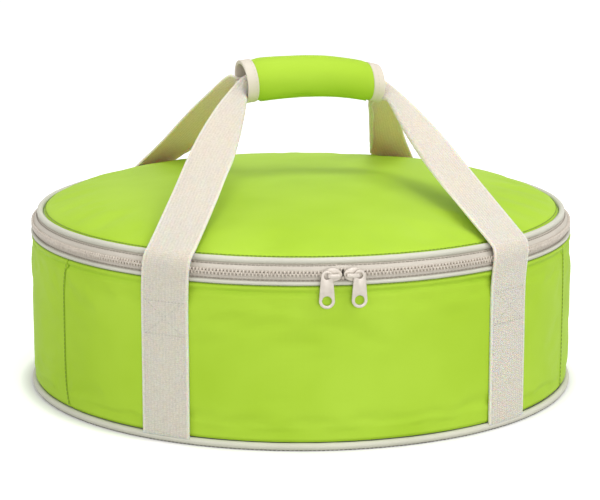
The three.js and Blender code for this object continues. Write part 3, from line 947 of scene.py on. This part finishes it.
# %% Pullers
puller_reach = 22.5 * MM  # from the bridge to the end of the tab
eye_offset = 4.2 * MM  # from the slider's middle to the eye
eye_radius = 4.0 * MM
eye_hole = 2.0 * MM
tab_radius = 5.3 * MM
tab_hole = 3.25 * MM
tab_thickness = 1.5 * MM


def arc_points(bm, middle, height, radius, first, last, steps):
    """Points round an arc in the plane of the puller."""
    turns = [math.radians(first + (last - first) * i / steps) for i in range(steps + 1)]
    return [bm.verts.new((middle + radius * math.cos(t), 0, height + radius * math.sin(t))) for t in turns]


def closed_loop(bm, points):
    """Joins points to a ring of edges."""
    return [bm.edges.new((a, b)) for a, b in zip(points, points[1:] + points[:1])]


def puller(side, nose):
    """A puller that hangs from the outer end of its slider's bridge."""
    middle = -nose * eye_offset
    eye_height = -0.6 * MM
    end_height = tab_radius - puller_reach
    bm = bmesh.new()
    outline = arc_points(bm, middle, eye_height, eye_radius, 0, 180, 14)
    outline += arc_points(bm, middle, end_height, tab_radius, 180, 360, 22)
    edges = closed_loop(bm, outline)
    edges += closed_loop(bm, arc_points(bm, middle, eye_height, eye_hole, 0, 340, 17))
    edges += closed_loop(bm, arc_points(bm, middle, end_height, tab_hole, 0, 345, 23))
    bmesh.ops.triangle_fill(bm, edges=edges, use_beauty=True)
    skin = bmesh.ops.extrude_face_region(bm, geom=bm.faces[:])
    front = [g for g in skin["geom"] if isinstance(g, bmesh.types.BMVert)]
    bmesh.ops.translate(bm, verts=front, vec=(0, -tab_thickness, 0))
    bmesh.ops.recalc_face_normals(bm, faces=bm.faces)
    rims = [e for e in bm.edges if len(e.link_faces) == 2 and e.calc_face_angle(0) > 1.0]
    round_off(bm, rims, 0.35 * MM, 2)
    bmesh.ops.translate(bm, verts=bm.verts, vec=(0, -slider_face - 0.6 * MM, 0))
    settle(bm, side)
    own = side + "_puller"
    return piece(own + "_tab", bm, slider_paint, own, [own])


puller("left", 1)
puller("right", -1)

# %% [markdown]
# ## Straps
# Each strap is one length of webbing: up the wall, where it is sewn down, over the lid's rim to the grip,
# and down the other side. Near the grip its inner edge folds under, because the wrap is narrower than the
# webbing. A cloth simulation would crumple such stiff webbing, so it is laid from listed points: the strap is
# given as pairs of points on its two edges, with a smooth curve through each edge. A flat strip is laid
# between the curves, and what is too wide for them is turned back behind.

# %% Strap sizes
strap_thickness = 1.5 * MM
strap_bow = 0.8 * MM  # how far the middle of a strap stands out over the round wall
fold_radius = 1.3 * MM
leg_radius = wall_radius + 0.3 * MM + strap_thickness / 2
leg_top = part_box("front_left_leg")[1].z
leg_bottom = wall_bottom - 1.5 * MM
grip_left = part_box("grip_binding_left")[0].x
grip_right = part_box("grip_binding_right")[1].x
grip_middle = (grip_left + grip_right) / 2
grip_half = (grip_right - grip_left) / 2
grip_radius = -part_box("grip_cover")[0].y
grip_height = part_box("grip_cover")[1].z - grip_radius
grip_arch = 4 * MM
grip_tilt = 0.5 * MM
grip_droop = 3 * MM  # the right end hangs lower than the left
print("grip is", round(2 * grip_half / MM), "mm long,", round(grip_height / MM), "mm above the floor")


def grip_drop(share):
    """How far the grip lies below its middle, at a share of the way to its left (-1) or right (1) end."""
    return grip_arch * share**2 + grip_tilt * share + grip_droop * max(0.0, share) ** 2


# %% [markdown]
# Both straps are modelled at the front, and the rear one is then turned round the drum. A path says where
# the outer and the inner edge enter the grip, as steps out, forward and up from its end in millimetres. The
# fullness is how much wider the slope is than a straight taper from the lid's rim to the throat.

# %% Strap paths
front_path = {
    "leg": 36.2, "middle": grip_middle, "right": 1, "drift": {-1: 0.9, 1: -0.3},
    "throat": {-1: ((6.6, 4.0, -2.8), (-0.4, 16, -9.9)), 1: ((5.4, 4.0, 0.5), (2.4, 16, -8.7))},
    "mouth": ((-0.8, 4, 4.3), (-2.0, 8.5, -7.8)), "fullness": ((2.9, 3.2), (6.4, 4.4), (5.0, 3.4)),
}
rear_path = {
    "leg": 31, "middle": -grip_middle, "right": -1, "drift": {-1: -1.0, 1: 2.6},
    "throat": {-1: ((3.0, 8, -0.5), (-2.5, 29, -15.5)), 1: ((8.5, 7, 4.0), (-3.5, 29, -19.5))},
    "mouth": ((-0.5, 5, 2.5), (-1.5, 8, -7)), "fullness": ((0, 0), (2.5, 0), (2.2, 0)),
}
slope_places = (0.3, 0.6, 0.82)  # shares of the way from the lid's rim to the throat
inside_forward = 6.5 * MM  # how far in front of the grip's line a strap lies inside it
inside_half = 8 * MM  # half the width that it has there
print("front legs at", front_path["leg"], "degrees, rear legs at", rear_path["leg"], "degrees")


# %% Edges of a strap
def strap_side(side, path):
    """Pairs of points on the outer and the inner edge of one side of a strap, from the base to the grip."""
    turn = math.radians(path["leg"])
    half = Vector((-side * math.cos(turn), -math.sin(turn), 0)) * strap_width / 2
    end = Vector((path["middle"] + side * grip_half, 0, grip_height - grip_drop(side * path["right"])))

    def on_wall(radius, height, drift=0):
        middle = polar(side * (path["leg"] - drift), radius - strap_bow, height)
        return middle - half, middle + half

    def by_grip(steps):
        return [end + Vector((side * out, -forward, up)) * MM for out, forward, up in steps]

    drift = path["drift"][side]
    pairs = [
        on_wall(leg_radius, leg_bottom),
        on_wall(leg_radius, (leg_bottom + leg_top) / 2),
        on_wall(leg_radius, leg_top),
        on_wall(wall_radius + 2.3 * MM, lid_edge - 13 * MM, 0.4 * drift),
        on_wall(wall_radius + 2.7 * MM, lid_edge - 6 * MM, 0.7 * drift),
        on_wall(wall_radius + 1.2 * MM, lid_edge - 0.2 * MM, 0.9 * drift),
        on_wall(wall_radius - 3.0 * MM, lid_edge + 3.6 * MM, drift),
    ]
    shoulder = pairs[-1]
    throat = by_grip(path["throat"][side])
    for share, (outer_full, inner_full) in zip(slope_places, path["fullness"]):
        outer = shoulder[0].lerp(throat[0], share)
        inner = shoulder[1].lerp(throat[1], share)
        across = (inner - outer).normalized() * MM
        pairs.append((outer - across * outer_full, inner + across * inner_full))
    return pairs + [throat, by_grip(path["mouth"])]


def strap_pairs(path):
    """Pairs of edge points of a whole strap: up one side, through the grip, down the other side."""
    inside = []
    for share in (-0.8, -0.4, 0, 0.4, 0.8):
        x = path["middle"] + share * grip_half
        drop = grip_drop(share * path["right"])
        middle = Vector((x, -inside_forward, grip_height - 1 * MM - drop))
        up = Vector((0, 0, inside_half))
        inside.append((middle + up, middle - up))
    return strap_side(-1, path) + inside + strap_side(1, path)[::-1]


print("a strap is given by", len(strap_pairs(front_path)), "pairs of points")

# %% [markdown]
# A smooth curve through the points is worked out from each pair and its neighbours. A curve object with a
# flat bevel could carry webbing too, but it can't fold one edge under.


# %% Smooth edges
def distances(pairs):
    """How far along the strap each pair lies."""
    reach = [0.0]
    for (a, b), (c, d) in zip(pairs, pairs[1:]):
        reach.append(reach[-1] + ((c - a).length + (d - b).length) / 2)
    return reach


def smooth_pair(pairs, reach, spot):
    """Both edges at a distance along smooth curves through all the pairs."""
    i = max(k for k in range(len(pairs) - 1) if reach[k] <= spot + 1e-9)
    span = reach[i + 1] - reach[i]
    t = (spot - reach[i]) / span

    def slope(k, edge):
        low, high = max(k - 1, 0), min(k + 1, len(pairs) - 1)
        return (pairs[high][edge] - pairs[low][edge]) / (reach[high] - reach[low]) * span

    def curve(edge):
        start = (2 * t**3 - 3 * t**2 + 1) * pairs[i][edge] + (t**3 - 2 * t**2 + t) * slope(i, edge)
        end = (3 * t**2 - 2 * t**3) * pairs[i + 1][edge] + (t**3 - t**2) * slope(i + 1, edge)
        return start + end

    return curve(0), curve(1)


# %% Lay webbing between two edges
def strap_spot(outer, inner, way, share, lift=0.0):
    """A point across a strap between its edges; what is too wide for them is folded back behind."""
    across = inner - outer
    shown = across.length
    across.normalize()
    out = across.cross(way).normalized()
    whole = max(shown, min(strap_width, 1.9 * shown + math.pi * fold_radius))
    spot = share * whole
    if spot <= shown:
        on_wall = 1 - ease(zip_middle, lid_edge + 12 * MM, (outer.z + inner.z) / 2)
        bow = 4 * strap_bow * on_wall * share * (1 - share)
        return outer + across * spot + out * (bow + lift)
    bend = min((spot - shown) / fold_radius, math.pi)
    rest = spot - shown - bend * fold_radius
    return inner + across * (fold_radius * math.sin(bend) - rest) - out * fold_radius * (1 - math.cos(bend))


class Strap:
    """The lie of one strap: its smooth edges in rows, which its webbing and its stitches share."""

    def __init__(self, path, turn):
        pairs = strap_pairs(path)
        reach = distances(pairs)
        self.rows = 420
        self.length = reach[-1]
        self.swing = Matrix.Rotation(turn, 3, "Z")
        self.edges = [smooth_pair(pairs, reach, self.length * i / self.rows) for i in range(self.rows + 1)]

    def spot(self, across, along, lift=0.0):
        """A point on the nearest row, both shares from 0 to 1, lifted off the webbing's middle."""
        i = round(along * self.rows)
        before = self.edges[max(i - 1, 0)]
        after = self.edges[min(i + 1, self.rows)]
        way = after[0] + after[1] - before[0] - before[1]
        return self.swing @ strap_spot(*self.edges[i], way, across, lift)

    def between(self, across, along, lift):
        """The same between two rows."""
        row = math.floor(along * self.rows)
        low = self.spot(across, row / self.rows, lift)
        high = self.spot(across, (row + 1) / self.rows, lift)
        return low.lerp(high, along * self.rows - row)


# %% Front and rear straps
def strap(name, path, turn, nodes):
    """One strap, laid as one piece that rides on no body."""
    lie = Strap(path, turn)
    bm = cloth(30, lie.rows, strap_width, lie.length, lie.spot)
    item = piece(name, bm, webbing, None, nodes)
    freeze(thicken(item, strap_thickness, offset=0, rim=0.45 * MM))
    start = polar(path["leg"], wall_radius, leg_top - 1 * MM)
    start.x = 0
    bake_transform(item)
    print(name, "is", round(lie.length, 3), "m long")
    return lie


front_lie = strap(
    "front_webbing", front_path, 0,
    ["front_strap", "front_left_leg", "front_right_leg"])
rear_lie = strap(
    "rear_webbing", rear_path, math.pi,
    ["rear_strap", "rear_left_leg", "rear_right_leg"])

# %% [markdown]
# ## The grip
# A padded wrap closes round both straps. Its front half is sewn to the front strap, and the flap behind it
# opens on a fold along the top. Each layer is a flat sheet rolled round the grip's line, which is arched, and
# skewed as a hand leaves it. The fold is a strip of its own on no body, curved over the top between the
# halves.

# %% The grip's line
wrap_end = grip_half - 8.3 * MM
fold_arc = 15  # the fold reaches this far each side of the top, in degrees
wrap_skew = 0.18  # the flap is wrapped a little to the left of the front half
wrap_slant = (0.11, 0.01)  # and the top to the left of the bottom, at the left and the right end
wrap_taper = 0.05  # the right end is rolled tighter than the left end
wrap_gap = 0.3 * MM  # how far the wrap reaches under its bindings
left_end = grip_middle - grip_half
right_end = grip_middle + grip_half
wrap_span = (grip_middle - wrap_end - wrap_gap, grip_middle + wrap_end + wrap_gap)
left_span = (left_end, left_end + 8 * MM)
right_span = (right_end - 10 * MM, right_end - 2 * MM)
print("wrap is", round((wrap_span[1] - wrap_span[0]) / MM, 1), "mm between its bindings")


def on_wrap(x, degrees, reach):
    """A point of the wrap: its place along the grip, its angle from straight back, and its radius."""
    turn = math.radians(degrees)
    share = (x - grip_middle) / grip_half
    reach *= 1 - wrap_taper * share
    back = reach * math.cos(turn)
    rise = reach * math.sin(turn)
    slant = wrap_slant[0] + (wrap_slant[1] - wrap_slant[0]) * (share + 1) / 2
    height = grip_height - grip_drop(share) + rise
    return Vector((x - wrap_skew * back - slant * rise, back, height))


# %% Rolled layers
def facing_out(item):
    """1 where a piece's first face points away from the grip's line, and -1 where it points to it."""
    first = item.data.polygons[0]
    spot = first.center
    out = Vector((0, spot.y, spot.z - grip_height + grip_drop((spot.x - grip_middle) / grip_half)))
    return math.copysign(1, first.normal.dot(out))


def rolled(name, radius, thickness, span, angles, made, nodes, body, puff=0.0, flare=0.0):
    """A layer of the wrap between two places along the grip and two angles. With no body, it is the fold."""
    first, last = span
    low, high = angles

    def place(across, along):
        x = first + (last - first) * across
        degrees = low + (high - low) * along
        edge = min(across, 1 - across) * (last - first)
        uneven = 0.3 * noise.noise(Vector((x * 60, math.radians(degrees) * 1.5, 2)))
        full = puff * (ease(0, 7 * MM, edge) - 0.5 + uneven)
        dent = puff * 1.2 * swell(x, -1 * MM, 9 * MM) * swell(degrees, 245, 14)  # low on the front
        open_end = flare * (1 - ease(0, 10 * MM, edge))
        return on_wrap(x, degrees, radius + (full - dent + open_end) * MM)

    columns = max(6, round((last - first) / (2 * MM)))
    rows = max(6, round(abs(high - low) / 5))
    bm = cloth(columns, rows, last - first, math.radians(high - low) * radius, place)
    item = piece(name, bm, made, body, nodes)
    thicken(item, thickness, offset=-facing_out(item), rim=min(0.5 * MM, thickness / 3))
    if not body:
        freeze(item)
        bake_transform(item)
    return item


# %% [markdown]
# From outside in, the wrap is green cloth, a thin pad and a beige lining, and a binding closes each end. One
# loop makes both halves and the fold. A strip of hooks on the flap and a strip of loops on the front half
# hold the wrap closed underneath.

# %% Wrap layers and bindings
halves = {
    "grip": ("front_strap", (90 + fold_arc, 269.2)),
    "flap": ("wrap_flap", (-89.2, 90 - fold_arc)),
    "fold": (None, (90 - fold_arc, 90 + fold_arc)),
}
for half, (body, angles) in halves.items():
    own = half != "fold"
    cover = rolled(
        half + "_wrap_cloth", grip_radius, 0.9 * MM, wrap_span, angles,
        lime, [half + "_cover"] if own else [], body, puff=0.9)
    lining = rolled(
        half + "_wrap_lining", grip_radius - 3.6 * MM, 0.6 * MM, wrap_span, angles,
        wrap_cloth, [half + "_lining"] if own else [], body, flare=1.8)
    for end, span in (("left", left_span), ("right", right_span)):
        rolled(
            f"{half}_{end}_binding", grip_radius + 0.4 * MM, 2.7 * MM, span, angles,
            binding_cloth, [f"{half}_binding_{end}"] if own else [], body)
    if own:
        pad = rolled(
            half + "_wrap_pad", grip_radius - 1.2 * MM, 2.1 * MM, wrap_span, angles,
            foam, [half + "_pad"], body)

# %% Hook and loop strips
tape_span = (wrap_span[0] + 4 * MM, wrap_span[1] - 4 * MM)
rolled(
    "loop_strip", grip_radius + 0.4 * MM, 0.5 * MM, tape_span, (261, 268.5),
    brushed_loops, ["loop_tape"], "front_strap")
rolled(
    "hook_strip", grip_radius + 0.9 * MM, 0.5 * MM, tape_span, (261, 292),
    lime, ["hook_tape"], "wrap_flap")

# %% [markdown]
# ## Inside the drum
# The lining is foil-faced, and a hem of it covers the foam's edge below the zip and round the lid. The
# foam is closed in, but it is modelled with the soft edges that it has, as an opened bag would show it. Both
# are profiles, spun round the drum.


# %% Wall lining and foam
def lining_wall():
    """The lining of the wall, bent outwards into its hem."""
    low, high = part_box("wall_lining")
    inner = high.x - 0.8 * MM
    hem = tape_radius - 1 * MM
    bend = 3 * MM
    profile = [(inner, low.z), (inner, (low.z + high.z) / 2), (inner, high.z - bend)]
    for degrees in (30, 60, 90):
        turn = math.radians(degrees)
        profile.append((inner + bend * (1 - math.cos(turn)), high.z - bend * (1 - math.sin(turn))))
    profile += [(hem - 1 * MM, high.z + 0.6 * MM), (hem, high.z + 1.2 * MM)]
    item = piece("wall_lining_foil", turned(profile, 180), foil, "tub", ["wall_lining"])
    return item


def wall_foam_core():
    """A ring of foam with rounded edges, set back from the cloth so that it stays under it."""
    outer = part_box("wall_foam")[1].x - 3.8 * MM
    inner = outer - 4.2 * MM
    bottom, top = wall_bottom, wall_top - 1 * MM
    edge = 1.5 * MM
    section = []
    for radius, height, first in (
            (outer - edge, bottom + edge, -90), (outer - edge, top - edge, 0),
            (inner + edge, top - edge, 90), (inner + edge, bottom + edge, 180)):
        for step in range(4):
            turn = math.radians(first + 30 * step)
            section.append((radius + edge * math.cos(turn), height + edge * math.sin(turn)))
    bm = turned(section, 120, closed=True)
    return piece("wall_foam_core", bm, foam, "tub", ["wall_foam"])


lining_wall()
wall_foam_core()

# %% [markdown]
# The base is a stack of four discs: cloth, a stiff board, foam and foil. They differ in size and finish only,
# so one function makes them all. The foil's top is slightly dimpled, because it lies on soft foam.


# %% Base
def base_disc(name, node_name, made, dimple=0.0):
    """A disc with softened edges in place of its solid; the dimples on its top are in millimetres."""
    low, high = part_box(node_name)
    edge = min(0.5 * MM, (high.z - low.z) / 3)
    rim = high.x
    profile = [(0, low.z), (rim * 0.5, low.z), (rim - edge, low.z), (rim, low.z + edge)]
    profile += [(rim, high.z - edge), (rim - edge, high.z)]
    profile += [(rim * share, high.z) for share in (0.75, 0.5, 0.25, 0)]
    bm = turned(profile, 160)
    for point in bm.verts:
        if point.co.z > (low.z + high.z) / 2:
            point.co.z += dimple * MM * noise.noise(point.co * 25)
    return piece(name, bm, made, "tub", [node_name])


round_sheet(base_disc("base_cloth", "base_panel", lime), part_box("base_panel")[1].x)
base_disc("base_stiffener", "base_board", board)
base_disc("base_foam_core", "base_foam", foam)
foil_disc = base_disc("base_lining_foil", "base_lining", foil, 0.2)
round_sheet(foil_disc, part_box("base_lining")[1].x)

# %% [markdown]
# Under the lid's cloth lie a dome of foam and a dome of foil. Both use the lid's own curve, with a smaller
# rise, so that no layer pokes through another.


# %% Lid foam and lining
def lid_foam_core():
    """A dome of foam, set back from the cloth above it."""
    low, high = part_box("lid_foam")
    rim, rise = high.x, high.z - low.z - 3.5 * MM
    outer = dome_profile(rim, rise, 20)
    inner = dome_profile(rim - 8 * MM, rise - 5 * MM, 20)
    bm = turned(outer + inner[::-1], 120)
    return piece("lid_foam_core", bm, foam, "lid", ["lid_foam"])


def lid_lining_foil():
    """The lining under the lid, with a flat hem at its rim."""
    low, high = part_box("lid_lining")
    hem = [(high.x + 4 * MM, low.z - 0.6 * MM), (lid_radius - 1 * MM, low.z - 0.6 * MM)]
    hem.append((lid_radius - 0.3 * MM, low.z - 0.4 * MM))
    bm = turned(dome_profile(high.x, high.z - low.z, 20) + hem, 160)
    item = piece("lid_lining_foil", bm, foil, "lid", ["lid_lining"])
    return thicken(round_sheet(item, lid_radius), 0.5 * MM)


lid_foam_core()
lid_lining_foil()

# %% [markdown]
# ## Stitching
# Thread holds the carrier together. Its darker rows are painted shade: they draw the fine dark lines that
# shade makes beside the piping, down the seams and under the drum's foot. One stitch is a small stretched
# ball with few faces. A row is a list of places, each with the way the thread runs and the way out of the
# cloth. An array along a curve could set the stitches too, but these rows follow shapes that functions above
# already give.

# %% Stitches
stitch_pitch = 3.0 * MM


def sew(name, row, length, radius, made, body):
    """A row of stitches, as one piece."""
    bm = bmesh.new()
    for spot, way, out in row:
        way = way.normalized()
        side = out.cross(way).normalized()
        lie = Matrix((way * length / 2, side * radius, side.cross(way) * -radius)).transposed()
        place = Matrix.Translation(spot) @ lie.to_4x4()
        bmesh.ops.create_icosphere(bm, subdivisions=1, radius=1, matrix=place)
    return piece(name, bm, made, body)


# %% Rows of stitches
def ring_row(radius, height, arc=180):
    """Places for stitches round the drum, on both sides of its front."""
    count = round(math.radians(2 * arc) * radius / stitch_pitch)
    angles = [arc * ((2 * i + 1) / count - 1) for i in range(count)]
    return [(polar(a, radius, height), polar(a + 90, 1, 0), polar(a, 1, 0)) for a in angles]


def seam_row(seam):
    """Places for stitches up a wall seam."""
    count = round((wall_top - wall_bottom - 6 * MM) / stitch_pitch)
    row = []
    for i in range(count):
        height = wall_bottom + 2 * MM + stitch_pitch * (i + 0.5)
        angle = seam + seam_lean(seam, (height - wall_bottom) / (wall_top - wall_bottom))
        row.append((polar(angle, wall_radius - 0.1 * MM, height), Vector((0, 0, 1)), polar(angle, 1, 0)))
    return row


def tape_row():
    """Places for stitches on the upper tape, under the lid's piping."""
    row = []
    for spot, way, out in ring_row(tape_radius, zip_middle, zip_arc):
        angle = math.degrees(math.atan2(spot.x, -spot.y))
        row.append((on_upper_tape(angle, 0.8) + out * 0.15 * MM, way, out))
    return row


# %% Seam and piping stitches
long_stitch = 3.3 * MM
zip_cord_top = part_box("lower_zip_piping")[1].z
# The olive, brown and dark rows are painted shade: they draw the shade in the seams, by the piping and at the
# foot.
stitch_rows = {
    "lid_rim_stitches": (ring_row(lid_radius - 1.5 * MM, lid_edge + 1.5 * MM), olive_shade_thread, "lid"),
    "lid_tape_stitches": (tape_row(), brown_shade_thread, "lid"),
    "zip_tape_stitches": (
        ring_row(tape_radius + 0.9 * MM, zip_cord_top + 0.9 * MM, zip_arc), brown_shade_thread, "tub"),
    "wall_top_stitches": (ring_row(wall_radius - 0.4 * MM, wall_top + 0.1 * MM), olive_shade_thread, "tub"),
    "base_stitches": (ring_row(wall_radius + 0.4 * MM, 0.5 * MM), dark_shade_thread, "tub"),
    "left_seam_stitches": (seam_row(left_seam), olive_shade_thread, "tub"),
    "right_seam_stitches": (seam_row(right_seam), olive_shade_thread, "tub"),
}
for name, (row, made, body) in stitch_rows.items():
    radius = 0.3 * MM if made is olive_shade_thread else 0.45 * MM
    sew(name, row, long_stitch, radius, made, body)

# %% [markdown]
# Each leg of a strap ends in a crossed box, the usual stitch for a strap under load, and a row runs down both
# its edges. The rows are given on the flat strap, across and along it, and the strap says where that lies.

# %% Strap stitches
box_height = 23 * MM
box_inset = 0.1  # from the strap's edge, as a share of its width
edge_inset = 0.07


def strap_row(lie, spots, step, mirrored):
    """Places for stitches on a leg of a strap, each with the step across and along that it points."""
    row = []
    for across, along in spots:
        ends = [(across + k * step[0], along + k * step[1]) for k in (-2, 2)]
        if mirrored:
            along = 1 - along
            ends = [(end[0], 1 - end[1]) for end in ends]
        before, after = [lie.between(*end, strap_thickness / 2) for end in ends]
        spot = lie.between(across, along, strap_thickness / 2)
        row.append((spot, after - before, Vector((spot.x, spot.y, 0))))
    return row


def sew_legs(name, lie):
    """A crossed box at the top of each leg of a strap, and rows down both its edges."""
    top = (leg_top - leg_bottom - 2 * MM) / lie.length
    foot = top - box_height / lie.length
    width = 1 - 2 * box_inset
    shares = [i / 11 for i in range(12)]
    down = [top * i / 30 for i in range(3, 30)]
    level = (0.01, 0)
    upright = (0, 1 / lie.rows)
    lines = [(top, top, level), (foot, foot, level), (top, foot, None), (foot, top, None)]
    for side, mirrored in (("left", False), ("right", True)):
        rows = []
        for first, last, way in lines:
            spots = [(box_inset + width * t, first + (last - first) * t) for t in shares]
            step = way or (0.01, 0.01 * (last - first) / width)
            rows += strap_row(lie, spots, step, mirrored)
        edges = [(across, along) for across in (edge_inset, 1 - edge_inset) for along in down]
        start = name + "_" + side
        sew(start + "_box_stitches", rows, 2.0 * MM, 0.3 * MM, beige_thread, "tub")
        edge_row = strap_row(lie, edges, upright, mirrored)
        sew(start + "_edge_stitches", edge_row, 2.3 * MM, 0.2 * MM, pale_thread, "tub")


sew_legs("front_leg", front_lie)
sew_legs("rear_leg", rear_lie)


# %% Binding stitches
def binding_row(x, angles):
    """Places for stitches round one end of the wrap."""
    row = []
    for degrees in range(round(angles[0]) + 5, round(angles[1]) - 2, 11):
        spot = on_wrap(x, degrees, grip_radius + 0.45 * MM)
        middle = on_wrap(x, degrees, 0)
        row.append((spot, on_wrap(x, degrees + 2, grip_radius + 0.45 * MM) - spot, spot - middle))
    return row


for half in ("grip", "flap"):
    body, angles = halves[half]
    rows = binding_row(left_end + 6.3 * MM, angles) + binding_row(right_end - 6.3 * MM, angles)
    sew(half + "_binding_stitches", rows, 2.2 * MM, 0.22 * MM, pale_thread, body)
